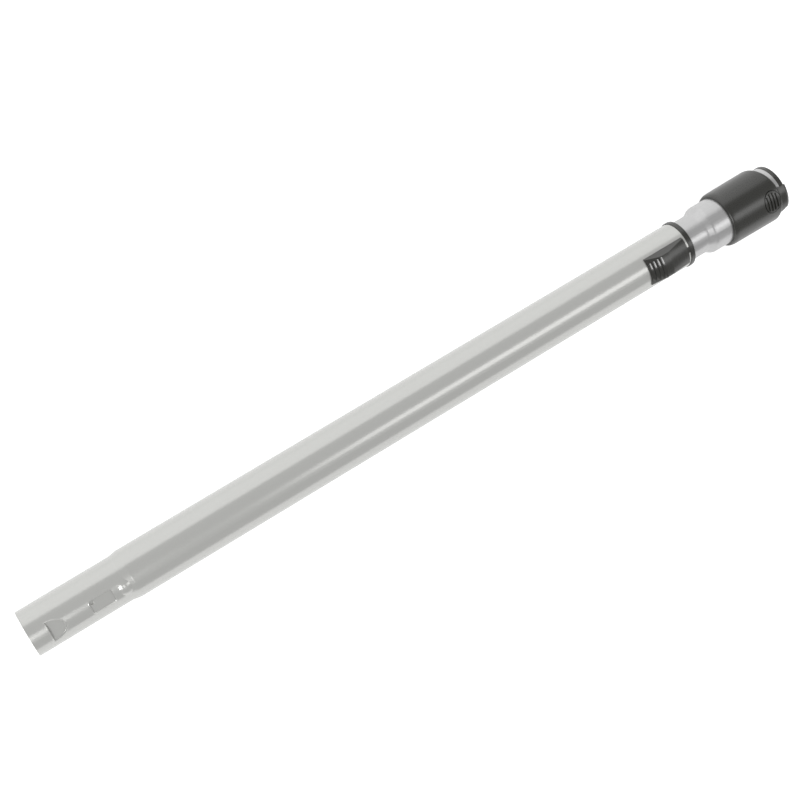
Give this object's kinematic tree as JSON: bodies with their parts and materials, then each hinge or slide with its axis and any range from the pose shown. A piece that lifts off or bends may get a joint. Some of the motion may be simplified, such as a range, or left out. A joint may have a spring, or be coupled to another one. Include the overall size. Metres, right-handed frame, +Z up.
{
  "type": "telescopic vacuum tube",
  "caption": "Telescopic suction tube: painted outer tube with a spigot, bright inner tube, black slide release and a socket sleeve with a press latch.",
  "frame": {"origin": "on the tube's axis at the mouth of the lower spigot", "axes": "-X along the tube from the lower spigot toward the socket for the handle; +Z up as the tube lies; the row of catches points up and to +Y"},
  "size_m": [0.6677, 0.047, 0.0476],
  "materials": {
    "silver_paint": "satin silver-grey metallic paint",
    "bright_steel": "smooth bright plated steel",
    "black_plastic": "satin moulded black plastic",
    "zinc": "plain zinc plated steel",
    "spring_steel": "bright spring steel",
    "seal_rubber": "soft black rubber"
  },
  "bodies": {
    "outer": {"outer_tube": "silver_paint", "guide_bush": "black_plastic"},
    "slider": {"release_slider": "black_plastic", "bolt_spring": "spring_steel", "slider_spring": "spring_steel"},
    "bolt": {"lock_bolt": "zinc"},
    "inner": {"inner_tube": "bright_steel", "end_guide": "black_plastic", "seal_ring": "seal_rubber", "connector_sleeve": "black_plastic", "socket_liner": "black_plastic", "latch_pin": "spring_steel", "latch_spring": "spring_steel"},
    "latch": {"latch_lever": "black_plastic"}
  },
  "joints": [
    {"name": "telescope", "type": "slide", "parent": "outer", "child": "inner", "axis": [-1, 0, 0], "range_m": [0, 0.399]},
    {"name": "release_slide", "type": "slide", "parent": "outer", "child": "slider", "axis": [-1, 0, 0], "range_m": [0, 0.002], "stiffness_N_per_m": 1500, "springref_m": -0.003, "deforming": ["slider_spring", "bolt_spring"]},
    {"name": "bolt_lift", "type": "slide", "parent": "outer", "child": "bolt", "axis": [0, 0.4274, 0.9041], "range_m": [0, 0.001]},
    {"name": "latch_press", "type": "hinge", "parent": "inner", "child": "latch", "pos_m": [-0.6405, 0.00895, 0.01894], "axis": [0, -0.9041, 0.4274], "range_deg": [0, 6.5], "stiffness_Nm_per_rad": 0.5, "springref_deg": -5.73, "deforming": ["latch_spring"]}
  ],
  "couplings": [
    {"joint": "bolt_lift", "follows": "release_slide", "ratio": 0.5}
  ]
}
